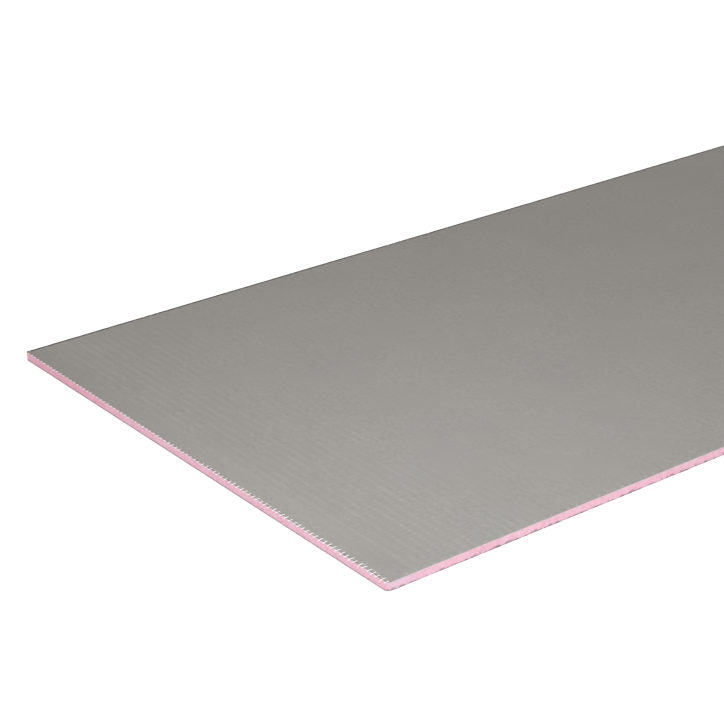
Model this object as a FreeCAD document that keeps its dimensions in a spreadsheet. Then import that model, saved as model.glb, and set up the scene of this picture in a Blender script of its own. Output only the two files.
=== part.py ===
import FreeCAD, Part
import os

import Sketcher

# Tile backer board: an extruded polystyrene core with a glass-fibre mesh and a polymer-cement
# mortar on both broad faces. Millimetres. X runs along the board, Y across it and Z up through
# its thickness, with the origin at the centre of the underside.

DOCUMENT_NAME = "TileBackerBoard"
SHEET_NAME = "Sizes"
PARTS_FOLDER = "parts"
MAX_NODE_NAME = 60

# Driving dimensions: alias, value, what it is.
DRIVING_SIZES = [
    ("board_length", 1200.0, "long side of the board"),
    ("board_width", 600.0, "short side of the board"),
    ("board_thickness", 10.0, "overall thickness, both coated faces included"),
    ("mortar_thickness", 0.5, "mortar over the mesh, on each face"),
    ("mesh_thickness", 0.3, "glass-fibre mesh, where its threads cross"),
]

# How each size is written in an expression.
LENGTH = SHEET_NAME + ".board_length"
WIDTH = SHEET_NAME + ".board_width"
THICKNESS = SHEET_NAME + ".board_thickness"
MORTAR = SHEET_NAME + ".mortar_thickness"
MESH = SHEET_NAME + ".mesh_thickness"
FACING = f"({MORTAR} + {MESH})"
CORE = f"({THICKNESS} - 2 * {FACING})"

# The layers from the underside up: name, height of its lower face, thickness.
LAYERS = [
    ("back_mortar", "0", MORTAR),
    ("back_mesh", MORTAR, MESH),
    ("foam_core", FACING, CORE),
    ("face_mesh", f"{FACING} + {CORE}", MESH),
    ("face_mortar", f"{THICKNESS} - {MORTAR}", MORTAR),
]


def make_sheet(doc):
    """The spreadsheet that every layer reads its sizes from."""
    sheet = doc.addObject("Spreadsheet::Sheet", SHEET_NAME)
    for row, (alias, value, meaning) in enumerate(DRIVING_SIZES, start=1):
        sheet.set(f"A{row}", meaning)
        sheet.set(f"B{row}", str(value))
        sheet.setAlias(f"B{row}", alias)
    doc.recompute()
    return sheet


def origin_plane(body, role):
    """One of a body's own origin planes, found by its role."""
    for feature in body.Origin.OriginFeatures:
        if feature.Role == role:
            return feature
    raise RuntimeError(f"{body.Label} has no origin plane {role}")


def draw_outline(sketch):
    """The board's outline: a rectangle centred on the sketch's origin."""
    sizes = sketch.Document.getObject(SHEET_NAME)
    half_x = sizes.board_length / 2
    half_y = sizes.board_width / 2
    corners = [
        FreeCAD.Vector(-half_x, -half_y, 0),
        FreeCAD.Vector(half_x, -half_y, 0),
        FreeCAD.Vector(half_x, half_y, 0),
        FreeCAD.Vector(-half_x, half_y, 0),
    ]
    start, end, origin = 1, 2, -1
    sides = [
        sketch.addGeometry(Part.LineSegment(corners[i], corners[(i + 1) % 4]), False)
        for i in range(4)
    ]
    for i, side in enumerate(sides):
        sketch.addConstraint(Sketcher.Constraint("Coincident", side, end, sides[(i + 1) % 4], start))
    for side, direction in zip(sides, ["Horizontal", "Vertical", "Horizontal", "Vertical"]):
        sketch.addConstraint(Sketcher.Constraint(direction, side))
    sketch.addConstraint(
        Sketcher.Constraint("Symmetric", sides[0], start, sides[1], end, origin, start)
    )
    spans = [
        ("DistanceX", "length", sides[0], 2 * half_x, LENGTH),
        ("DistanceY", "width", sides[1], 2 * half_y, WIDTH),
    ]
    for kind, name, side, value, expression in spans:
        index = sketch.addConstraint(Sketcher.Constraint(kind, side, start, side, end, value))
        sketch.renameConstraint(index, name)
        sketch.setExpression("Constraints." + name, expression)


def make_layer(doc, name, lower_face, thickness):
    """One layer of the board: its outline, padded up from the height of its lower face."""
    body = doc.addObject("PartDesign::Body", name)
    body.Label = name
    sketch = body.newObject("Sketcher::SketchObject", name + "_outline")
    sketch.AttachmentSupport = (origin_plane(body, "XY_Plane"), [""])
    sketch.MapMode = "FlatFace"
    sketch.setExpression("AttachmentOffset.Base.z", lower_face)
    draw_outline(sketch)
    pad = body.newObject("PartDesign::Pad", name + "_sheet")
    pad.Profile = sketch
    pad.setExpression("Length", thickness)
    body.Tip = pad
    return body


def check_document(doc, bodies):
    """Stops the build if a feature failed or a layer isn't one valid solid."""
    for item in doc.Objects:
        if {"Invalid", "Error"} & set(item.State):
            raise RuntimeError(f"{item.Label} failed: {item.State}")
    for body in bodies:
        shape = body.Shape
        if shape.isNull() or not shape.isValid() or len(shape.Solids) != 1:
            raise RuntimeError(f"{body.Label} is not one valid solid")
        if len(body.Label) >= MAX_NODE_NAME:
            raise RuntimeError(f"{body.Label} is too long a name")


def main():
    doc = FreeCAD.newDocument(DOCUMENT_NAME)
    make_sheet(doc)
    bodies = [make_layer(doc, *layer) for layer in LAYERS]
    doc.recompute()
    check_document(doc, bodies)
    os.makedirs(PARTS_FOLDER, exist_ok=True)
    for body in bodies:
        body.Shape.exportStep(os.path.join(PARTS_FOLDER, body.Label + ".step"))
        box = body.Shape.BoundBox
        print(
            f"{body.Label}: {box.XLength:.2f} x {box.YLength:.2f} x {box.ZLength:.2f},"
            f" z {box.ZMin:.2f} to {box.ZMax:.2f}"
        )


main()
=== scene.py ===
"""The looks of a tile backer board: a pink foam core with a grey mortar skin over a glass-fibre
scrim on each broad face.

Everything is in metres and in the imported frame: X runs along the board, Y across it, Z up. Each
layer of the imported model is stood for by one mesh, built here at the layer's own size. The near
corner is the one at lowest X and lowest Y, and the near end is the short edge at lowest X.
"""

import math

import bpy
import numpy as np
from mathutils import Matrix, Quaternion, Vector


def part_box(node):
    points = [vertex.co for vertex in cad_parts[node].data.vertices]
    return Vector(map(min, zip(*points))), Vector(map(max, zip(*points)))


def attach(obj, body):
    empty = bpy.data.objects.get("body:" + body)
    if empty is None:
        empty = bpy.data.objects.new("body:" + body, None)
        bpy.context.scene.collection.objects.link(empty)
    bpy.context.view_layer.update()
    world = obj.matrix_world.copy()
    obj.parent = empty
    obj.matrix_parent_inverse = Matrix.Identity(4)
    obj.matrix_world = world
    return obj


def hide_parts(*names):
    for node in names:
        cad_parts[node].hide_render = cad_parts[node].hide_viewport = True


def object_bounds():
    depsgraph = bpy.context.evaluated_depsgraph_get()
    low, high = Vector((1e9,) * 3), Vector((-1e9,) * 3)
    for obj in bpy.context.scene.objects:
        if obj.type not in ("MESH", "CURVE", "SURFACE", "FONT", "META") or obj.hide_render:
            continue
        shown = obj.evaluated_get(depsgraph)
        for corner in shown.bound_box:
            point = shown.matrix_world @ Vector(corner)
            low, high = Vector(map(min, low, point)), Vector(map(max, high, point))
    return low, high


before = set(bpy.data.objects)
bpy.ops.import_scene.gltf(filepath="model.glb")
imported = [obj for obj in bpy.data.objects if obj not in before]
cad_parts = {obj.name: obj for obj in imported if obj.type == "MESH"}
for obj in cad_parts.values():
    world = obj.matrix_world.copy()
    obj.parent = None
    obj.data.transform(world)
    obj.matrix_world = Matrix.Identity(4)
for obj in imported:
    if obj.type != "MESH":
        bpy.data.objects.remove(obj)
CAD_LOW, CAD_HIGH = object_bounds()

MM = 0.001
BODY = "root"

HALF_X = (CAD_HIGH.x - CAD_LOW.x) / 2
HALF_Y = (CAD_HIGH.y - CAD_LOW.y) / 2
CORE_LOW, CORE_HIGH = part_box("foam_core")
FACE_MESH_LOW, FACE_MESH_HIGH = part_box("face_mesh")
BACK_MESH_LOW, BACK_MESH_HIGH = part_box("back_mesh")
FACE_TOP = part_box("face_mortar")[1].z
BACK_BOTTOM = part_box("back_mortar")[0].z
# A skin fills its mortar layer and the mesh's, down to the foam.
SKIN = FACE_TOP - CORE_HIGH.z

# Scrim: the threads along X lie WEFT apart, and the ribs across the board lie RIB apart.
WEFT = 6.3 * MM
RIB = 10.24 * MM
FIRST_WEFT = 2.4 * MM
FIRST_RIB = 3.6 * MM
WEFT_WANDER = 0.35 * MM
RIB_WANDER = 0.9 * MM

# Spacing of the points along the long and short edges, and the rings between edge and field.
LONG_EDGE_STEP = 1.6 * MM
SHORT_EDGE_STEP = 1.05 * MM
RING_INSETS = [inset * MM for inset in (7.6, 6.3, 5.3, 4.5, 3.8, 3.1, 2.4, 1.7, 1.1, 0.6, 0.25)]
FIELD_GAP = 0.8 * MM
FIELD_INSET = RING_INSETS[0] + FIELD_GAP
# Where the faces that lie between two layers end: their last ring, and their plain field.
HIDDEN_RING_INSET = 9 * MM
HIDDEN_FIELD_INSET = 14 * MM
# How far in from the short edges the face's points lie closer together.
FINE_LENGTH = 0.14
SHARP_ANGLE = math.radians(40)
# How near a side of the outline a point counts as on it.
ON_EDGE = 1e-6
# Radius of the corners seen from above: knocked in most at the near corner and at the bottom.
CORNER_TOP, CORNER_BOTTOM = 0.6 * MM, 3.0 * MM
NEAR_CORNER_TOP, NEAR_CORNER_BOTTOM = 3.6 * MM, 7.0 * MM


# ---------------------------------------------------------------------------------- noise


class Noise:
    """Smooth value noise from 0 to 1 in the plane, the same each run."""

    CELLS = 128

    def __init__(self, seed):
        self.table = np.random.RandomState(seed).rand(self.CELLS, self.CELLS)

    def __call__(self, x, y, size, size_y=None):
        """The noise at x and y, with lumps of the given size along each axis."""
        u = np.asarray(x, float) / size
        v = np.asarray(y, float) / (size_y or size)
        i, j = np.floor(u).astype(int), np.floor(v).astype(int)
        fu, fv = u - i, v - j
        fu = fu * fu * fu * (fu * (fu * 6 - 15) + 10)
        fv = fv * fv * fv * (fv * (fv * 6 - 15) + 10)
        n = self.CELLS
        a, b = self.table[i % n, j % n], self.table[(i + 1) % n, j % n]
        c, d = self.table[i % n, (j + 1) % n], self.table[(i + 1) % n, (j + 1) % n]
        return (a * (1 - fu) + b * fu) * (1 - fv) + (c * (1 - fu) + d * fu) * fv


def smooth_step(low, high, value):
    """0 below low, 1 above high, and smooth between them."""
    t = np.clip((value - low) / (high - low), 0, 1)
    return t * t * (3 - 2 * t)


# ---------------------------------------------------------------------- the board's own surface

rib_noise, weft_noise = Noise(11), Noise(12)
patch_noise, wear_noise = Noise(13), Noise(14)
chip_noise, edge_noise = Noise(15), Noise(16)
swell_noise, foam_noise = Noise(17), Noise(18)


def rib_wander(x, y):
    """How far a rib lies aside, towards lower X, from where an even spacing would put it."""
    return RIB_WANDER * (rib_noise(x, y, 55 * MM, 38 * MM) - 0.5)


def weft_wander(x, y):
    """How far a thread along X lies aside, towards lower Y."""
    return WEFT_WANDER * (weft_noise(x, y, 60 * MM, 45 * MM) - 0.5)


def rib_phase(x, y):
    """Whole numbers where a rib lies."""
    return (x + HALF_X - FIRST_RIB + rib_wander(x, y)) / RIB


def weft_phase(x, y):
    """Whole numbers where a thread along X lies."""
    return (y + HALF_Y - FIRST_WEFT + weft_wander(x, y)) / WEFT


def as_near_end(x, y):
    """The place on the near half that a place looks like: the far half is the near one turned round."""
    far = x > 0
    return np.where(far, -x, x), np.where(far, -y, y)


def relief_strength(x, y):
    """How far the ribs and the threads along X show through the skin, each from 0 to 1."""
    near_x, near_y = as_near_end(x, y)
    from_end = near_x + HALF_X
    from_side = near_y + HALF_Y
    clear_band = smooth_step(10 * MM, 40 * MM, from_end)
    patches = smooth_step(0.52, 0.85, patch_noise(x, y, 75 * MM, 60 * MM))
    near_corner = np.exp(-(((from_end - 0.09) / 0.075) ** 2) - ((from_side - 0.07) / 0.13) ** 2)
    farther = smooth_step(0.35, 0.65, from_side / (2 * HALF_Y))
    ribs = (1 + 0.9 * farther) * (0.45 + 0.55 * patch_noise(x, y, 45 * MM))
    ribs *= clear_band * np.exp(-((from_end / (0.15 - 0.04 * farther)) ** 2))
    ribs = np.clip(ribs + 0.35 * near_corner + 0.28 * patches, 0, 1)
    threads = clear_band * np.clip(0.9 * near_corner + 0.3 * patches + 0.08, 0, 1)
    return ribs, threads


def wear(x, y):
    """How badly a short edge was cut, from 0 to 1: worst towards the near corner."""
    _, near_y = as_near_end(x, y)
    along = (near_y + HALF_Y) / (2 * HALF_Y)
    ragged = 0.4 * (wear_noise(y, x, 30 * MM) - 0.5)
    return np.clip(1.05 - 1.1 * smooth_step(0.0, 0.75, along) + ragged, 0.12, 1)


def broken(x, y, worn):
    """1 where the skin over the threads broke off along a short edge, and 0 elsewhere."""
    from_end = HALF_X - np.abs(x)
    reach = (1.3 + 2.8 * worn + (0.6 + 1.8 * worn) * (chip_noise(y, x, 4.2 * MM, 9 * MM) - 0.5)) * MM
    return 1 - smooth_step(-0.5 * MM, 0.5 * MM, from_end - reach)


def skin_drop(x, y, worn):
    """How far the skin's surface falls away near an edge of the board."""
    from_end, from_side = HALF_X - np.abs(x), HALF_Y - np.abs(y)
    cut = (0.16 + 0.34 * worn) * MM * broken(x, y, worn)
    cut += 0.12 * MM * np.clip(1 - from_end / (9 * MM), 0, 1) ** 2
    rolled = 0.3 * MM * np.clip(1 - from_side / (1.6 * MM), 0, 1) ** 2
    ragged = 0.14 * MM * (edge_noise(x, y, 2.1 * MM) - 0.5) * np.clip(1 - from_end / (5 * MM), 0, 1)
    return np.maximum(cut, rolled) + ragged * (0.3 + worn)


def skin_chip(x, y, worn):
    """How far back the skin broke away from each edge, as inward distances along X and Y."""
    between = 0.5 - 0.5 * np.cos(2 * np.pi * weft_phase(x, y))
    lost = smooth_step(0.42, 0.8, chip_noise(x, y, 9 * MM, 5.5 * MM))
    at_end = (0.1 + 0.25 * worn + 1.3 * worn * between * lost) * MM
    at_end += 0.4 * MM * worn * (edge_noise(y, x, 1.7 * MM) - 0.5)
    at_side = (0.06 + 0.3 * smooth_step(0.55, 0.9, chip_noise(x, y, 14 * MM))) * MM
    return np.maximum(at_end, 0), at_side


def skin_relief(x, y):
    """Height of the skin's surface over its nominal plane."""
    ribs, threads = relief_strength(x, y)
    rib_wave = 0.5 + 0.5 * np.cos(2 * np.pi * rib_phase(x, y))
    weft_wave = 0.5 + 0.5 * np.cos(2 * np.pi * weft_phase(x, y))
    swell = swell_noise(x, y, 160 * MM, 90 * MM) - 0.5
    return (0.10 * ribs * rib_wave + 0.06 * threads * weft_wave + 0.05 * swell - 0.05) * MM


def foot_shade_dashes(x, y):
    """1 in the dashes of painted shade along the foot of a long edge, less by the near corner, 0
    between them.
    """
    near_x, _ = as_near_end(x, y)
    dark = 1 - smooth_step(0.40, 0.54, chip_noise(x, y, 2.8 * MM))
    return dark * (0.3 + 0.7 * smooth_step(-0.58, -0.53, near_x))


# ---------------------------------------------------------------------------------- meshes


class Shell:
    """Rows of points, and the faces between them. A face's points run anticlockwise from outside."""

    def __init__(self):
        self.points = []
        self.faces = []
        self.count = 0

    def row(self, points):
        """Adds points, and returns their numbers."""
        first = self.count
        self.points.append(np.asarray(points, float))
        self.count += len(points)
        return np.arange(first, self.count)

    def between_loops(self, inner, outer):
        """Quads between two closed loops with as many points each."""
        quads = np.stack([outer, np.roll(outer, -1), np.roll(inner, -1), inner], axis=1)
        self.faces += quads.tolist()

    def between_rows(self, inner, inner_at, outer, outer_at):
        """Triangles between two open rows, whose points lie at inner_at and outer_at along them."""
        i = j = 0
        while i < len(outer) - 1 or j < len(inner) - 1:
            outer_next = outer_at[i + 1] if i < len(outer) - 1 else math.inf
            inner_next = inner_at[j + 1] if j < len(inner) - 1 else math.inf
            if outer_next <= inner_next:
                self.faces.append([int(outer[i]), int(outer[i + 1]), int(inner[j])])
                i += 1
            else:
                self.faces.append([int(outer[i]), int(inner[j + 1]), int(inner[j])])
                j += 1

    def lattice(self, xs, ys, z, upwards):
        """A field of quads over the lines xs and ys, and the field's four boundary rows."""
        grid_x, grid_y = np.meshgrid(xs, ys)
        flat = np.stack([grid_x.ravel(), grid_y.ravel(), np.full(grid_x.size, z)], axis=1)
        numbers = self.row(flat).reshape(len(ys), len(xs))
        a, b = numbers[:-1, :-1].ravel(), numbers[:-1, 1:].ravel()
        c, d = numbers[1:, 1:].ravel(), numbers[1:, :-1].ravel()
        corners = [a, b, c, d] if upwards else [a, d, c, b]
        self.faces += np.stack(corners, axis=1).tolist()
        return [numbers[0], numbers[:, -1], numbers[-1, ::-1], numbers[::-1, 0]]

    def all_points(self):
        return np.concatenate(self.points)


def loop_points(inset, z, steps_x, steps_y):
    """A rectangle of points, inset from the board's edge, anticlockwise from the near corner."""
    half_x, half_y = HALF_X - inset, HALF_Y - inset
    xs, ys = np.linspace(-half_x, half_x, steps_x + 1), np.linspace(-half_y, half_y, steps_y + 1)
    x = np.concatenate([xs[:-1], np.full(steps_y, half_x), xs[:0:-1], np.full(steps_y, -half_x)])
    y = np.concatenate([np.full(steps_x, -half_y), ys[:-1], np.full(steps_x, half_y), ys[:0:-1]])
    return np.stack([x, y, np.full(len(x), z)], axis=1)


def loop_sides(loop, steps_x, steps_y):
    """A loop's four sides as open rows, each with both of its corners."""
    closed = np.append(loop, loop[0])
    starts = np.cumsum([0, steps_x, steps_y, steps_x, steps_y])
    return [closed[starts[k] : starts[k + 1] + 1] for k in range(4)]


def distance_along(points):
    """How far along its row each point lies, as a share of the row."""
    steps = np.linalg.norm(np.diff(points, axis=0), axis=1)
    along = np.concatenate([[0], np.cumsum(steps)])
    return along / along[-1]


def slab(rings, top_lines, bottom_lines):
    """A closed slab of the board's outline. rings are (inset, z) pairs, from the top field's edge
    out to the board's edge, down it, and in to the bottom field's edge."""
    steps_x, steps_y = round(2 * HALF_X / LONG_EDGE_STEP), round(2 * HALF_Y / SHORT_EDGE_STEP)
    shell = Shell()
    loops = [shell.row(loop_points(inset, z, steps_x, steps_y)) for inset, z in rings]
    for inner, outer in zip(loops, loops[1:]):
        shell.between_loops(inner, outer)
    fields = [
        shell.lattice(*top_lines, rings[0][1], upwards=True),
        shell.lattice(*bottom_lines, rings[-1][1], upwards=False),
    ]
    points = shell.all_points()
    for field, loop, field_is_inner in zip(fields, (loops[0], loops[-1]), (True, False)):
        for side, field_side in zip(loop_sides(loop, steps_x, steps_y), field):
            rows = [(row, distance_along(points[row])) for row in (field_side, side)]
            inner, outer = rows if field_is_inner else rows[::-1]
            shell.between_rows(*inner, *outer)
    return shell, points


def corner_radius(points, z):
    """The radius of the corner nearest each point, for points at the heights z."""
    rise = np.clip((z - CAD_LOW.z) / (CAD_HIGH.z - CAD_LOW.z), 0, 1) ** 0.7
    near = (points[:, 0] < 0) & (points[:, 1] < 0)
    top = np.where(near, NEAR_CORNER_TOP, CORNER_TOP)
    bottom = np.where(near, NEAR_CORNER_BOTTOM, CORNER_BOTTOM)
    return bottom + (top - bottom) * rise


def round_corners(points, radius):
    """Turns the slab's square corners into arcs of each point's radius, seen from above."""
    out_x = np.abs(points[:, 0]) - (HALF_X - radius)
    out_y = np.abs(points[:, 1]) - (HALF_Y - radius)
    at_corner = (out_x > 0) & (out_y > 0)
    share = np.maximum(out_x, out_y) / np.maximum(np.hypot(out_x, out_y), 1e-12)
    for axis, half, out in ((0, HALF_X, out_x), (1, HALF_Y, out_y)):
        moved = np.sign(points[:, axis]) * (half - radius + out * share)
        points[:, axis] = np.where(at_corner, moved, points[:, axis])


def vectors(*parts):
    """Up to three values for each point, as the vectors of one attribute."""
    unused = [np.zeros(len(parts[0]))] * (3 - len(parts))
    return np.stack([*parts, *unused], axis=1)


def make_object(name, points, faces, material, attributes):
    """A mesh object with smooth faces and its own point attributes, which its material reads."""
    mesh = bpy.data.meshes.new(name)
    mesh.from_pydata(points.tolist(), [], faces)
    for label, values in attributes.items():
        attribute = mesh.attributes.new(label, "FLOAT_VECTOR", "POINT")
        attribute.data.foreach_set("vector", np.asarray(values, np.float32).ravel())
    mesh.polygons.foreach_set("use_smooth", [True] * len(mesh.polygons))
    mesh.set_sharp_from_angle(angle=SHARP_ANGLE)
    mesh.materials.append(material)
    piece = bpy.data.objects.new(name, mesh)
    bpy.context.scene.collection.objects.link(piece)
    return piece


def stand_for(piece, node):
    """Puts a piece on the board in place of the layer it details."""
    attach(piece, BODY)
    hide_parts(node)


def coarse_lines(inset, step=40 * MM):
    """Evenly spaced lines for a field that nothing shows of."""
    half_x, half_y = HALF_X - inset, HALF_Y - inset
    return (
        np.linspace(-half_x, half_x, round(2 * half_x / step) + 1),
        np.linspace(-half_y, half_y, round(2 * half_y / step) + 1),
    )


def weave_lines(inset, per_rib_at_ends, per_rib, per_weft):
    """Lines on the ribs and threads and evenly between them, closer together near the short edges."""
    half_x, half_y = HALF_X - inset, HALF_Y - inset
    all_x = np.arange(-HALF_X + FIRST_RIB - RIB, HALF_X + RIB, RIB / per_rib_at_ends)
    number = np.arange(len(all_x))
    kept = (np.abs(all_x) > HALF_X - FINE_LENGTH) | (number % (per_rib_at_ends // per_rib) == 0)
    all_y = np.arange(-HALF_Y + FIRST_WEFT - WEFT, HALF_Y + WEFT, WEFT / per_weft)
    xs = all_x[kept & (np.abs(all_x) < half_x - FIELD_GAP)]
    ys = all_y[np.abs(all_y) < half_y - FIELD_GAP]
    return np.concatenate([[-half_x], xs, [half_x]]), np.concatenate([[-half_y], ys, [half_y]])


# ---------------------------------------------------------------------------------- materials


class Nodes:
    """Adds shader nodes to a new material, and links them."""

    def __init__(self, name):
        self.material = bpy.data.materials.new(name)
        self.material.use_nodes = True
        self.tree = self.material.node_tree
        self.shader = self.tree.nodes["Principled BSDF"]
        self.place = self.node("ShaderNodeTexCoord").outputs["Object"]

    def node(self, kind, **settings):
        made = self.tree.nodes.new(kind)
        for key, value in settings.items():
            setattr(made, key, value)
        return made

    def put(self, socket, value):
        """Links value to the socket if it is a socket, and sets it otherwise."""
        if isinstance(value, bpy.types.NodeSocket):
            self.tree.links.new(value, socket)
        else:
            socket.default_value = value

    def math(self, operation, a, b=0.0, c=0.0, clamp=False):
        made = self.node("ShaderNodeMath", operation=operation, use_clamp=clamp)
        for socket, value in zip(made.inputs, (a, b, c)):
            self.put(socket, value)
        return made.outputs[0]

    def split(self, name):
        """The three parts of a point attribute."""
        read = self.node("ShaderNodeAttribute", attribute_name=name)
        parts = self.node("ShaderNodeSeparateXYZ")
        self.put(parts.inputs[0], read.outputs["Vector"])
        return parts.outputs[0], parts.outputs[1], parts.outputs[2]

    def stretched(self, scale):
        """The piece's own coordinates, scaled along each axis."""
        made = self.node("ShaderNodeMapping")
        self.put(made.inputs["Vector"], self.place)
        made.inputs["Scale"].default_value = scale
        return made.outputs[0]

    def noise(self, size, detail=2.0, roughness=0.5, stretch=(1, 1, 1), distortion=0.0):
        """Noise from 0 to 1, with lumps of about the given size, longer where stretch is above 1."""
        made = self.node("ShaderNodeTexNoise")
        self.put(made.inputs["Vector"], self.stretched([1 / s for s in stretch]))
        made.inputs["Scale"].default_value = 1 / size
        made.inputs["Detail"].default_value = detail
        made.inputs["Roughness"].default_value = roughness
        made.inputs["Distortion"].default_value = distortion
        return made.outputs["Fac"]

    def cells(self, size):
        """A cell pattern: the distance to the nearest cell's centre, and the cell's own chance."""
        made = self.node("ShaderNodeTexVoronoi")
        self.put(made.inputs["Vector"], self.place)
        made.inputs["Scale"].default_value = 1 / size
        parts = self.node("ShaderNodeSeparateColor")
        self.put(parts.inputs[0], made.outputs["Color"])
        return made.outputs["Distance"], parts.outputs[0]

    def spread(self, value, low, high, to_low=0.0, to_high=1.0):
        """Maps low to high onto to_low to to_high, and holds it there beyond them."""
        made = self.node("ShaderNodeMapRange", interpolation_type="SMOOTHSTEP")
        for socket, number in zip(made.inputs, (value, low, high, to_low, to_high)):
            self.put(socket, number)
        return made.outputs[0]

    def vary(self, level, source, low, high, swing):
        """Changes level by up to swing either way, as source goes from low to high."""
        return self.math("ADD", level, self.spread(source, low, high, -swing, swing))

    def mix(self, share, a, b, blend="MIX"):
        """Colour a where share is 0, and b, blended, where it is 1."""
        made = self.node("ShaderNodeMix", data_type="RGBA", blend_type=blend)
        for socket, value in zip((made.inputs[0], made.inputs[6], made.inputs[7]), (share, a, b)):
            self.put(socket, value)
        return made.outputs[2]

    def shade(self, colour, factor):
        """A colour made lighter or darker by a factor that varies over the surface."""
        made = self.node("ShaderNodeVectorMath", operation="SCALE")
        self.put(made.inputs[0], colour)
        self.put(made.inputs["Scale"], factor)
        return made.outputs[0]

    def bump(self, height, distance, strength=1.0, normal=None):
        made = self.node("ShaderNodeBump")
        made.inputs["Strength"].default_value = strength
        made.inputs["Distance"].default_value = distance
        self.put(made.inputs["Height"], height)
        if normal is not None:
            self.put(made.inputs["Normal"], normal)
        return made.outputs[0]

    def principled(self, **values):
        """Sets the shader's inputs, named with _ for each space."""
        for name, value in values.items():
            self.put(self.shader.inputs[name.replace("_", " ")], value)
        return self.material


def colour(red, green, blue):
    return (red, green, blue, 1.0)


WHITE = colour(1.0, 1.0, 1.0)
MORTAR_COOL, MORTAR_WARM = colour(0.312, 0.304, 0.286), colour(0.315, 0.302, 0.285)
FOAM_DEEP, FOAM_LIGHT = colour(0.80, 0.435, 0.555), colour(0.87, 0.535, 0.65)
FOAM_PALE = colour(0.845, 0.59, 0.70)
FOAM_LILAC = colour(0.75, 0.60, 0.73)
FOAM_FLUSH = colour(0.98, 0.87, 0.89)
MORTAR_DUST = colour(0.66, 0.61, 0.61)
SHADE_MAROON = colour(0.30, 0.17, 0.22)
SPECK_SPACING = 26 * MM
FOAM_CELL = 0.55 * MM


def weave_height(n, rib_strength, weft_strength):
    """How high the ribs and threads stand under the skin, with places where they fade out."""
    rib, weft, _ = n.split("weave")

    def wave(phase):
        turned = n.math("MULTIPLY", phase, 2 * math.pi)
        half = n.math("MULTIPLY_ADD", n.math("COSINE", turned), 0.5, 0.5)
        return n.math("POWER", half, 2.0)

    breaks = n.spread(n.noise(6 * MM, detail=1.0, stretch=(1, 3, 1)), 0.35, 0.6, 0.15, 1.0)
    ribs = n.math("MULTIPLY", n.math("MULTIPLY", wave(rib), rib_strength), breaks)
    broken_up = n.spread(n.noise(5 * MM, detail=2.0), 0.38, 0.58, 0.05, 1.0)
    knots = n.math("MULTIPLY", n.math("MULTIPLY", wave(rib), wave(weft)), weft_strength)
    wefts = n.math("MULTIPLY", n.math("MULTIPLY", wave(weft), weft_strength), 0.5)
    wefts, knots = (n.math("MULTIPLY", part, broken_up) for part in (wefts, knots))
    return n.math("ADD", n.math("MULTIPLY", ribs, 1.25), n.math("ADD", knots, wefts))


def speckled(n, body):
    """The colour with a few small pale and dark specks."""
    distance, chance = n.cells(SPECK_SPACING)
    pale = n.math("MULTIPLY", n.math("LESS_THAN", distance, 0.022), n.math("LESS_THAN", chance, 0.30))
    dark_here = n.math("GREATER_THAN", chance, 0.86)
    dark = n.math("MULTIPLY", n.math("LESS_THAN", distance, 0.028), dark_here)
    body = n.mix(n.math("MULTIPLY", pale, 0.55), body, colour(0.66, 0.65, 0.62))
    return n.mix(n.math("MULTIPLY", dark, 0.6), body, colour(0.09, 0.085, 0.08))


def edge_coloured(n, body):
    """The colour with painted shade near the edges, and with the mortar's cut wall pale with dust or
    painted dark as shade.
    """
    cut, painted_shade, dust_over_shade = n.split("edge")
    shade_share = n.math("MULTIPLY", painted_shade, n.spread(n.noise(2.4 * MM, detail=2.0), 0.25, 0.6, 0.75, 1.0))
    # Painted shade: near-black along the rear edge and in the broken short edges.
    body = n.mix(shade_share, body, colour(0.036, 0.034, 0.029))
    fresh = n.mix(n.noise(1.1 * MM, detail=2.0), colour(0.44, 0.41, 0.40), colour(0.74, 0.67, 0.67))
    # Painted shade for the back skin's cut wall, which faces down beside the floor.
    shaded_wall = n.mix(n.noise(1.6 * MM, detail=2.0), colour(0.02, 0.016, 0.02), colour(0.07, 0.05, 0.06))
    return n.mix(n.math("MULTIPLY", cut, 0.9), body, n.mix(dust_over_shade, shaded_wall, fresh))


def mortar_material():
    """Grey polymer-cement mortar, trowelled smooth, with the scrim showing through faintly."""
    n = Nodes("grey_mortar")
    rib_strength, weft_strength, painted_light = n.split("relief")
    weave = weave_height(n, rib_strength, weft_strength)
    grain = n.noise(0.9 * MM, detail=3.0, roughness=0.65)
    mottle = n.noise(22 * MM, detail=3.0, roughness=0.55)
    cloud = n.noise(130 * MM, detail=2.0)
    lumps = n.noise(3.0 * MM, detail=2.0, roughness=0.6, stretch=(1, 1.7, 1))
    places = n.spread(n.noise(45 * MM, detail=1.0), 0.35, 0.62, 0.3, 1.0)
    tint = n.noise(90 * MM, detail=1.0, stretch=(1.5, 1, 1))

    level = 1.0
    for source, low, high, swing in (
        (grain, 0.25, 0.75, 0.045),
        (mottle, 0.3, 0.7, 0.022),
        (cloud, 0.3, 0.7, 0.012),
    ):
        level = n.vary(level, source, low, high, swing)
    level = n.math("MULTIPLY_ADD", n.spread(lumps, 0.34, 0.66, -0.045, 0.045), places, level)
    # The raised ribs and crossings are painted lighter: partly the white scrim showing through, partly
    # a painted highlight on the raised weave.
    level = n.math("MULTIPLY_ADD", weave, 0.07, level)
    # Painted light: a paler band along the short edges.
    level = n.math("MULTIPLY_ADD", painted_light, 0.055, level)
    body = n.mix(n.spread(tint, 0.35, 0.65), MORTAR_COOL, MORTAR_WARM)
    body = edge_coloured(n, speckled(n, n.shade(body, level)))

    roughness = n.spread(mottle, 0.25, 0.75, 0.72, 0.9)
    height = n.math("ADD", weave, n.math("MULTIPLY", grain, 0.28))
    height = n.math("MULTIPLY_ADD", n.math("MULTIPLY", lumps, places), 0.9, height)
    normal = n.bump(height, 0.08 * MM)
    return n.principled(Base_Color=body, Roughness=roughness, Normal=normal, Specular_IOR_Level=0.25)


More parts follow.
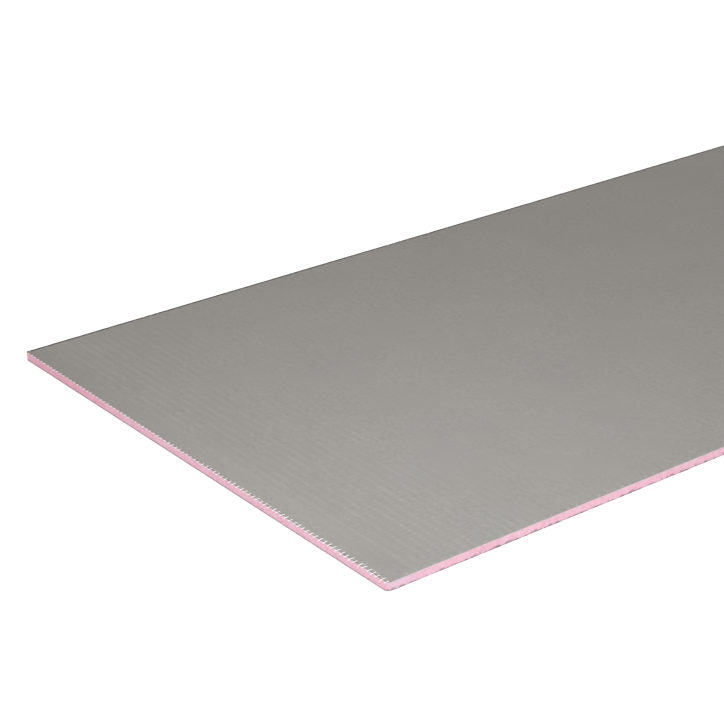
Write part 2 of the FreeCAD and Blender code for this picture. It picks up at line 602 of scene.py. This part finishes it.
def foam_material():
    """Cut face of pink extruded polystyrene: fine closed cells, faint knife lines, mortar dust."""
    n = Nodes("pink_foam")
    rim, nick_and_foot_shade, _ = n.split("edge")
    flush, lilac, _ = n.split("tone")
    distance, chance = n.cells(FOAM_CELL)
    lumps = n.noise(2.6 * MM, detail=3.0, roughness=0.6)
    long_lumps = n.noise(3.5 * MM, detail=2.0, stretch=(9, 9, 1))
    knife = n.noise(0.8 * MM, detail=1.0, stretch=(1, 1, 9), distortion=0.4)

    level = n.vary(1.0, chance, 0.0, 1.0, 0.035)
    level = n.vary(level, knife, 0.3, 0.7, 0.03)
    level = n.vary(level, long_lumps, 0.3, 0.7, 0.025)
    body = n.shade(n.mix(n.spread(lumps, 0.3, 0.7), FOAM_DEEP, FOAM_LIGHT), level)
    patches = n.noise(11 * MM, detail=2.0, stretch=(1, 1, 2), distortion=0.5)
    body = n.mix(n.spread(patches, 0.42, 0.66, 0.0, 0.5), body, FOAM_PALE)
    body = n.mix(flush, body, FOAM_FLUSH, blend="MULTIPLY")
    body = n.mix(n.math("MULTIPLY", lilac, 0.5), body, FOAM_LILAC)
    dusty = n.math("MULTIPLY", rim, n.spread(n.noise(1.8 * MM, detail=2.0), 0.3, 0.7, 0.5, 1.0))
    body = n.mix(dusty, body, MORTAR_DUST)
    # Painted shade in the nicks and along the foot of the cut face.
    body = n.mix(n.math("MULTIPLY", nick_and_foot_shade, 0.75), body, SHADE_MAROON)

    height = n.math("MULTIPLY_ADD", knife, 0.6, n.math("MULTIPLY", distance, -0.8))
    normal = n.bump(height, 0.12 * MM)
    roughness = n.spread(lumps, 0.3, 0.7, 0.6, 0.8)
    return n.principled(Base_Color=body, Roughness=roughness, Normal=normal, Specular_IOR_Level=0.3)


def scrim_material():
    """White glass-fibre threads: clean where they stick out, and coated in mortar inside the skin."""
    n = Nodes("glass_fibre")
    clean, _, _ = n.split("edge")
    filaments = n.noise(0.22 * MM, detail=1.0, stretch=(12, 12, 1))
    coat = n.noise(1.2 * MM, detail=2.0)
    white = n.mix(filaments, colour(0.92, 0.93, 0.91), colour(1.0, 1.0, 0.99))
    coated = n.mix(coat, colour(0.46, 0.46, 0.44), colour(0.74, 0.75, 0.71))
    body = n.mix(clean, coated, white)
    normal = n.bump(filaments, 0.05 * MM)
    roughness = n.spread(coat, 0.3, 0.7, 0.4, 0.6)
    return n.principled(Base_Color=body, Roughness=roughness, Normal=normal, Specular_IOR_Level=0.4)


# ---------------------------------------------------------------------------------- mortar skins


BACK_WEAR = 0.15


def skin_rings():
    """The skin's rings, face up at depth 0: out over the face, down the edge and in under it."""
    rings = [(inset, 0.0) for inset in RING_INSETS]
    rings += [(0.0, depth) for depth in (0.0, -SKIN / 3, -2 * SKIN / 3, -SKIN)]
    return rings + [(inset, -SKIN) for inset in (2.5 * MM, HIDDEN_RING_INSET)]


def break_edges(points, worn, shown):
    """Moves the skin's points for its chips, its fallen edges and its relief. shown is 1 on the
    face and 0 at the foam."""
    x, y = points[:, 0].copy(), points[:, 1].copy()
    from_end, from_side = HALF_X - np.abs(x), HALF_Y - np.abs(y)
    at_end, at_side = skin_chip(x, y, worn)
    lower = 1 - 0.35 * (1 - shown)
    points[:, 0] -= np.sign(x) * at_end * lower * np.clip(1 - from_end / (6 * MM), 0, 1)
    points[:, 1] -= np.sign(y) * at_side * lower * np.clip(1 - from_side / (3 * MM), 0, 1)
    points[:, 2] += (skin_relief(x, y) - skin_drop(x, y, worn)) * shown


def painted_light_band(x, y):
    """How much painted light brightens the skin along a short edge. It is below 0 in the damp near
    corner.
    """
    near_x, near_y = as_near_end(x, y)
    from_end, from_side = near_x + HALF_X, near_y + HALF_Y
    fading = 1 - 1.7 * smooth_step(0.35, 1, from_side / (2 * HALF_Y))
    painted_light = (1 - smooth_step(18 * MM, 46 * MM, from_end)) * fading
    damp = np.exp(-(((from_end / MM - 24) / 17) ** 2) - ((from_side / MM - 28) / 32) ** 2)
    return painted_light * (1 - damp) - 0.5 * damp


def skin_painted_shade(x, y, worn):
    """How dark the painted shade is: along the rear edge, whose rolled-over edge turns away from the
    lamps, and in patches where the short edges broke off.
    """
    rear = smooth_step(HALF_Y - 3.7 * MM, HALF_Y - 2.8 * MM, y)
    # Painted shade in the broken short edges, where the chips between the threads lie in shadow.
    broken_edge_shade = broken(x, y, worn) * smooth_step(0.25, 0.6, edge_noise(x, y, 2.6 * MM, 3.4 * MM))
    return np.maximum(rear, broken_edge_shade * (0.16 + 0.24 * worn))


def make_skin(name, node, material, outer_z, fields, is_face):
    """A mortar skin, built with its broad face up at depth 0 and turned over for the back."""
    shell, points = slab(skin_rings(), fields, coarse_lines(HIDDEN_FIELD_INSET))
    x, y, z = points.T.copy()
    from_end, from_side = HALF_X - np.abs(x), HALF_Y - np.abs(y)
    shown = 1 + z / SKIN
    worn = (1.0 if is_face else BACK_WEAR) * wear(x, y)
    break_edges(points, worn, shown)
    height = outer_z + points[:, 2] if is_face else outer_z - points[:, 2]
    round_corners(points, corner_radius(points, height))

    # The back skin's cut wall is painted dark as shade on the ends and in dashes along the sides, and
    # pale with dust between the dashes.
    on_wall = (np.minimum(from_end, from_side) < ON_EDGE) & (shown < 0.95)
    unshaded_foot = np.where(from_side < from_end, 1 - foot_shade_dashes(x, y), 0.0)
    dust_over_shade = np.ones(len(x)) if is_face else unshaded_foot
    attributes = {
        "weave": vectors(rib_phase(x, y), weft_phase(x, y)),
        "relief": vectors(*relief_strength(x, y), painted_light_band(x, y)),
        "edge": vectors(on_wall.astype(float), skin_painted_shade(x, y, worn) * shown, dust_over_shade),
    }
    faces = shell.faces
    if is_face:
        points[:, 2] += outer_z
    else:
        points[:, 2] = outer_z - np.minimum(points[:, 2], 0)
        faces = [face[::-1] for face in faces]
    stand_for(make_object(name, points, faces, material, attributes), node)


# ---------------------------------------------------------------------------------- foam core


def foam_rings():
    """The core's rings: out over its top, down the cut edge and in under it."""
    insets = [HIDDEN_RING_INSET, 4 * MM, 2 * MM, 0.8 * MM]
    rings = [(inset, CORE_HIGH.z) for inset in insets]
    rings += [(0.0, z) for z in np.linspace(CORE_HIGH.z, CORE_LOW.z, 13)]
    return rings + [(inset, CORE_LOW.z) for inset in insets[::-1]]


def foam_nicks(along, z, near_x):
    """1 in the nicks that rise from the foot of a long edge, and more of them by the near corner."""
    by_corner = 1 - smooth_step(-0.52, -0.42, near_x)
    level = chip_noise(along, along * 0, 3.3 * MM) + 0.06 * by_corner
    height = (0.8 + 4.2 * edge_noise(along, along * 0, 8 * MM) ** 2) * MM
    return smooth_step(0.62, 0.74, level) * smooth_step(0, 1, 1 - (z - CORE_LOW.z) / height)


def foam_sunk(along, z):
    """How far the cut face lies inside the board's outline: knife lines, lumps and a long wave."""
    knife = foam_noise(along + 0.25 * z, z, 1.6 * MM, 14 * MM) - 0.5
    lumps = foam_noise(along + 0.7, z, 4.5 * MM, 3 * MM) - 0.5
    wave = swell_noise(along, z, 70 * MM, 30 * MM) - 0.5
    return (0.10 + 0.10 * knife + 0.12 * lumps + 0.10 * wave) * MM


def make_foam(material):
    """The foam core, with the fine unevenness of its cut edges."""
    hidden = coarse_lines(HIDDEN_FIELD_INSET)
    shell, points = slab(foam_rings(), hidden, hidden)
    x, y, z = points.T.copy()
    near_x, near_y = as_near_end(x, y)
    on_end, on_side = HALF_X - np.abs(x) < ON_EDGE, HALF_Y - np.abs(y) < ON_EDGE
    along = np.where(on_end, y, x)

    nick = foam_nicks(along, z, near_x) * on_side
    sunk = foam_sunk(along, z) + 0.45 * MM * nick
    points[:, 0] -= np.where(on_end, np.sign(x) * sunk, 0)
    points[:, 1] -= np.where(on_side, np.sign(y) * sunk, 0)
    round_corners(points, corner_radius(points, z))

    rim = smooth_step(CORE_HIGH.z - 1.1 * MM, CORE_HIGH.z - 0.4 * MM, z) * np.where(on_side, 1.0, 0.6)
    foot = smooth_step(0, 1, (CORE_LOW.z + 1.0 * MM - z) / (0.7 * MM))
    # Painted shade along the foot, in dashes on the long sides.
    foot_shade = foot * np.where(on_side, 0.1 + 0.9 * foot_shade_dashes(x, y), 0.85)
    flush = smooth_step(0.10, 0.18, near_y) * on_end
    lilac = (1 - smooth_step(-0.59, -0.55, near_x)) * (near_y < 0) * on_side
    attributes = {"edge": vectors(rim, np.maximum(nick, foot_shade)), "tone": vectors(flush, lilac)}
    piece = make_object("foam_core_cut", points, shell.faces, material, attributes)
    stand_for(piece, "foam_core")


# ---------------------------------------------------------------------------------- scrim


ALONG_X, ALONG_Y, UP = np.eye(3)
# Distances from a thread's tip of the points at its cut ends.
WEFT_TIPS = np.array([0, 0.8, 1.8, 3.2, 5.0, 8.0]) * MM
RIB_TIPS = np.array([0, 0.9, 1.7, 2.5, 3.3, 6.0]) * MM
# A rib is two threads, this far either side of its middle.
HALF_RIB_GAP = 0.9 * MM
RIB_HALF_WIDTH = 0.33 * MM
FIRST_RIB_EXPOSED = 0.17 * MM
FILAMENTS = 3
FILAMENT_ROOT = 0.4 * MM
FILAMENT_TAPER = np.array([1.15, 1.0, 0.85, 0.4])
# The lowest that any thread comes.
FLOOR_CLEARANCE = 0.05 * MM


class Threads:
    """Tubes with a few sides, gathered into one mesh."""

    def __init__(self):
        self.points, self.faces, self.clean = [], [], []
        self.count = 0

    def tube(self, path, across, up, widths, heights, clean, sides=6):
        """A tube along path. across and up span its section, with half sizes widths and heights."""
        angles = 2 * np.pi * (np.arange(sides) + 0.5) / sides
        cosine, sine = np.cos(angles)[None, :, None], np.sin(angles)[None, :, None]
        rings = path[:, None, :] + cosine * widths[:, None, None] * across
        rings = rings + sine * heights[:, None, None] * up
        numbers = self.count + np.arange(len(path) * sides).reshape(len(path), sides)
        a, b = numbers[:-1], numbers[1:]
        quads = np.stack([a, np.roll(a, -1, axis=1), np.roll(b, -1, axis=1), b], axis=-1)
        if np.dot(np.cross(across, up), path[-1] - path[0]) < 0:
            quads = quads[..., ::-1]
            first, last = numbers[0], numbers[-1][::-1]
        else:
            first, last = numbers[0][::-1], numbers[-1]
        self.faces += quads.reshape(-1, 4).tolist()
        self.faces += [first.tolist(), last.tolist()]
        self.points.append(rings.reshape(-1, 3))
        self.clean.append(np.repeat(clean, sides))
        self.count += rings.shape[0] * sides


class Scrim(Threads):
    """The scrim of one face. outwards is 1 where its skin is above it, and -1 where it is below."""

    def __init__(self, low_z, high_z, outwards):
        super().__init__()
        self.random = np.random.RandomState(21 if outwards > 0 else 22)
        self.middle, self.thick = (low_z + high_z) / 2, high_z - low_z
        self.outwards = outwards

    def stick_out(self, end, y):
        """How far the thread at y sticks out of an end, -1 or 1: farther where the edge is worn."""
        worn = float(wear(np.array([end * HALF_X]), np.array([y]))[0])
        reach = 0.75 + 0.95 * worn * self.random.uniform(0.6, 1.2)
        return (reach if self.outwards > 0 else 0.05) * MM

    def fray(self, tip, direction, half_width, length):
        """Loose filaments that carry on from a thread's cut end and spread."""
        for k in range(FILAMENTS):
            share = (k + 0.5) / FILAMENTS * 2 - 1 + self.random.uniform(-0.2, 0.2)
            start = tip + ALONG_Y * half_width * 0.75 * share - direction * FILAMENT_ROOT
            reach = length * self.random.uniform(0.35, 1.0)
            spread = ALONG_Y * reach * (0.16 * share + self.random.uniform(-0.12, 0.12))
            fall = -UP * reach * self.random.uniform(0.05, 0.45)
            at = np.linspace(0, 1, len(FILAMENT_TAPER))[:, None]
            path = start + direction * (reach + FILAMENT_ROOT) * at + spread * at**1.5 + fall * at**2
            size = self.random.uniform(0.09, 0.13) * MM * FILAMENT_TAPER
            self.tube(path, ALONG_Y, UP, size, size, np.ones(len(path)), sides=4)

    def weft(self, y):
        """A flat thread along X, which rises out of the skin and droops at its cut ends."""
        outs = [self.stick_out(end, y) for end in (-1, 1)]
        field = np.linspace(-HALF_X + 14 * MM, HALF_X - 14 * MM, 26)
        tips = [-HALF_X - outs[0] + WEFT_TIPS, HALF_X + outs[1] - WEFT_TIPS[::-1]]
        x = np.concatenate([tips[0], field, tips[1]])
        inside = HALF_X - np.abs(x)
        lift = np.exp(-((np.maximum(inside, 0) / (5.5 * MM)) ** 4))
        lean = np.where(x < 0, self.random.uniform(-0.6, 0.6), self.random.uniform(-0.6, 0.6)) * MM
        straight = y - weft_wander(x, np.full(len(x), y))
        path_y = straight + lean * np.clip(1 - inside / (4 * MM), 0, 2) ** 2
        droop = np.clip(-inside / (1.5 * MM), 0, 2) ** 2
        z = self.middle + self.outwards * 0.22 * MM * lift - 0.25 * MM * droop
        path = np.stack([x, path_y, z], axis=1)
        widths = (0.46 + 0.10 * lift + self.random.uniform(-0.04, 0.04)) * MM
        heights = self.thick * 0.5 * (1 - 0.12 * lift)
        self.tube(path, ALONG_Y, UP, widths, heights, 1 - smooth_step(2.8 * MM, 6.5 * MM, inside))
        if self.outwards > 0:
            for end, out, index in zip((-1, 1), outs, (0, -1)):
                self.fray(path[index], ALONG_X * end, widths[index], 0.3 * MM + 0.5 * out)

    def rib(self, x, aside, exposed):
        """A thread across the board, some of whose ends bulge out of the skin's rolled edge."""
        outs = [self.random.uniform(-0.1, 0.35) * MM for _ in range(2)]
        raised = [self.random.rand() < 0.42 for _ in range(2)]
        field = np.linspace(-HALF_Y + 10 * MM, HALF_Y - 10 * MM, 14)
        tips = [-HALF_Y - outs[0] + RIB_TIPS, HALF_Y + outs[1] - RIB_TIPS[::-1]]
        y = np.concatenate([tips[0], field, tips[1]])
        path_x = x - rib_wander(np.full(len(y), x), y) + aside
        inside = HALF_Y - np.abs(y)
        hump = np.exp(-(((inside - 2.4 * MM) / (1.0 * MM)) ** 2))
        high = np.where(y < 0, *raised) * hump
        z = self.middle + self.outwards * np.maximum(exposed, 0.68 * MM * high)
        widths, heights = np.full(len(y), RIB_HALF_WIDTH), np.full(len(y), self.thick * 0.42)
        path = np.stack([path_x, y, z], axis=1)
        self.tube(path, -ALONG_X, UP, widths, heights, np.clip(high * 1.5, 0, 1), sides=4)


def make_scrim(name, node, material, low_z, high_z, outwards):
    """The scrim: flat threads along X, ribs across them, and cut ends that stick out and fray."""
    scrim = Scrim(low_z, high_z, outwards)
    for k in range(int(2 * HALF_Y / WEFT)):
        scrim.weft(-HALF_Y + FIRST_WEFT + k * WEFT)
    for k in range(int((2 * HALF_X - FIRST_RIB) / RIB) + 1):
        for side in (-1, 1):
            exposed = FIRST_RIB_EXPOSED if k == 0 else 0.0
            scrim.rib(-HALF_X + FIRST_RIB + k * RIB, side * HALF_RIB_GAP, exposed)
    points = np.concatenate(scrim.points)
    points[:, 2] = np.maximum(points[:, 2], CAD_LOW.z + FLOOR_CLEARANCE)
    attributes = {"edge": vectors(np.concatenate(scrim.clean))}
    stand_for(make_object(name, points, scrim.faces, material, attributes), node)


# ---------------------------------------------------------------------------------- studio


def white_where_seen(tree, unseen, seen):
    """A strength of seen for camera, glossy and transmission rays, and unseen for the others."""
    path = tree.nodes.new("ShaderNodeLightPath")
    total = path.outputs["Is Camera Ray"]
    for name in ("Is Glossy Ray", "Is Transmission Ray"):
        joined = tree.nodes.new("ShaderNodeMath")
        joined.operation = "MAXIMUM"
        tree.links.new(total, joined.inputs[0])
        tree.links.new(path.outputs[name], joined.inputs[1])
        total = joined.outputs[0]
    mapped = tree.nodes.new("ShaderNodeMapRange")
    mapped.inputs["To Min"].default_value = unseen
    mapped.inputs["To Max"].default_value = seen
    tree.links.new(total, mapped.inputs["Value"])
    return mapped.outputs[0]


AMBIENT = 0.60
AMBIENT_TINT = colour(1.0, 0.965, 0.95)
FLOOR_HALF = 8.0
FLOOR_LIFT = 0.55
FLOOR_GAP = 0.1 * MM
FLOOR_COLOUR = colour(0.82, 0.82, 0.82)
# The lamps' tints and powers in watts.
KEY_TINT, KEY_POWER = (0.97, 1.0, 1.02), 2.4
FAR_TINT, FAR_POWER = (1.0, 0.90, 0.82), 2.6
END_POWER, SIDE_POWER = 7.6, 9.0


def make_world():
    """A pale surround: white where it is seen, and a little warm where it only lights the board."""
    world = bpy.data.worlds.new("studio")
    bpy.context.scene.world = world
    world.use_nodes = True
    tree = world.node_tree
    background = tree.nodes["Background"]
    seen = white_where_seen(tree, 0.0, 1.0)
    tint = tree.nodes.new("ShaderNodeMix")
    tint.data_type = "RGBA"
    tint.inputs[6].default_value = AMBIENT_TINT
    tint.inputs[7].default_value = WHITE
    tree.links.new(seen, tint.inputs[0])
    tree.links.new(tint.outputs[2], background.inputs["Color"])
    tree.links.new(white_where_seen(tree, AMBIENT, 1.0), background.inputs["Strength"])


def make_floor():
    """A white floor, lifted to pure white for the camera and darker where the board shades it."""
    corners = [(-1, -1), (1, -1), (1, 1), (-1, 1)]
    level = CAD_LOW.z - FLOOR_GAP
    points = [(x * FLOOR_HALF, y * FLOOR_HALF, level) for x, y in corners]
    mesh = bpy.data.meshes.new("floor")
    mesh.from_pydata(points, [], [(0, 1, 2, 3)])
    floor = bpy.data.objects.new("floor", mesh)
    bpy.context.scene.collection.objects.link(floor)
    material = bpy.data.materials.new("floor_white")
    material.use_nodes = True
    tree = material.node_tree
    shader = tree.nodes["Principled BSDF"]
    shader.inputs["Base Color"].default_value = FLOOR_COLOUR
    shader.inputs["Roughness"].default_value = 1.0
    shader.inputs["Specular IOR Level"].default_value = 0.0
    shader.inputs["Emission Color"].default_value = WHITE
    tree.links.new(white_where_seen(tree, 0.0, FLOOR_LIFT), shader.inputs["Emission Strength"])
    mesh.materials.append(material)


def make_lamp(name, place, target, size, power, tint=(1.0, 1.0, 1.0)):
    """A soft rectangular lamp at place, aimed at target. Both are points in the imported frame."""
    light = bpy.data.lights.new(name, "AREA")
    light.shape = "RECTANGLE"
    light.size, light.size_y = size
    light.energy = power
    light.color = tint
    lamp = bpy.data.objects.new(name, light)
    lamp.location = Vector(place)
    lamp.rotation_mode = "QUATERNION"
    lamp.rotation_quaternion = (Vector(target) - Vector(place)).to_track_quat("-Z", "Y")
    bpy.context.scene.collection.objects.link(lamp)


def make_lamps():
    """A lamp over the near corner, so that the light falls off along the board, and soft side lamps."""
    lit = Vector((-HALF_X + 0.11, -HALF_Y, CAD_HIGH.z))
    make_lamp("key", lit + Vector((0.0, 0.0, 0.66)), lit, (0.4, 0.4), KEY_POWER, KEY_TINT)
    end, side = -HALF_X, -HALF_Y
    make_lamp("end_fill", (end - 1.7, -0.25, 0.32), (end, -0.1, 0.0), (1.6, 0.5), END_POWER)
    make_lamp("side_fill", (-0.25, side - 1.7, 0.32), (-0.25, side, 0.0), (1.8, 0.5), SIDE_POWER)
    beyond = (HALF_X + 1.2, HALF_Y + 1.6, 0.6)
    make_lamp("far_fill", beyond, (0.2, 0.1, 0.0), (1.8, 0.6), FAR_POWER, FAR_TINT)


# The camera looks down on the near corner, and the board's far end is outside its view.
VIEW_AZIMUTH, VIEW_ELEVATION, VIEW_ROLL = -39.44, 25.25, 1.012
VIEW_DISTANCE = 2.4014
VIEW_LENS = 113.43
AIM_FROM_CORNER = Vector((0.2672, 0.3656, -0.0003))


def make_camera():
    """The camera, placed by its angles and its distance from a point near the near corner."""
    data = bpy.data.cameras.new("camera")
    data.lens = VIEW_LENS
    data.sensor_width = 36.0
    data.clip_start, data.clip_end = 0.05, 60.0
    camera = bpy.data.objects.new("camera", data)
    azimuth, elevation = math.radians(VIEW_AZIMUTH), math.radians(VIEW_ELEVATION)
    flat = math.cos(elevation)
    back = Vector((math.sin(azimuth) * flat, -math.cos(azimuth) * flat, math.sin(elevation)))
    aim = Vector((-HALF_X, -HALF_Y, CAD_HIGH.z)) + AIM_FROM_CORNER
    camera.location = aim + back * VIEW_DISTANCE
    camera.rotation_mode = "QUATERNION"
    roll = Quaternion((0, 0, 1), math.radians(VIEW_ROLL))
    camera.rotation_quaternion = (-back).to_track_quat("-Z", "Y") @ roll
    bpy.context.scene.collection.objects.link(camera)
    bpy.context.scene.camera = camera


# ---------------------------------------------------------------------------------- the scene

bpy.context.scene.view_settings.view_transform = "Standard"
make_camera()
make_world()
make_floor()
make_lamps()

mortar = mortar_material()
glass_fibre = scrim_material()
face_fields = weave_lines(FIELD_INSET, per_rib_at_ends=4, per_rib=2, per_weft=2)
back_fields = weave_lines(FIELD_INSET, per_rib_at_ends=2, per_rib=1, per_weft=2)
make_skin("face_mortar_skin", "face_mortar", mortar, FACE_TOP, face_fields, is_face=True)
make_skin("back_mortar_skin", "back_mortar", mortar, BACK_BOTTOM, back_fields, is_face=False)
make_foam(foam_material())
make_scrim("face_scrim", "face_mesh", glass_fibre, FACE_MESH_LOW.z, FACE_MESH_HIGH.z, 1)
make_scrim("back_scrim", "back_mesh", glass_fibre, BACK_MESH_LOW.z, BACK_MESH_HIGH.z, -1)
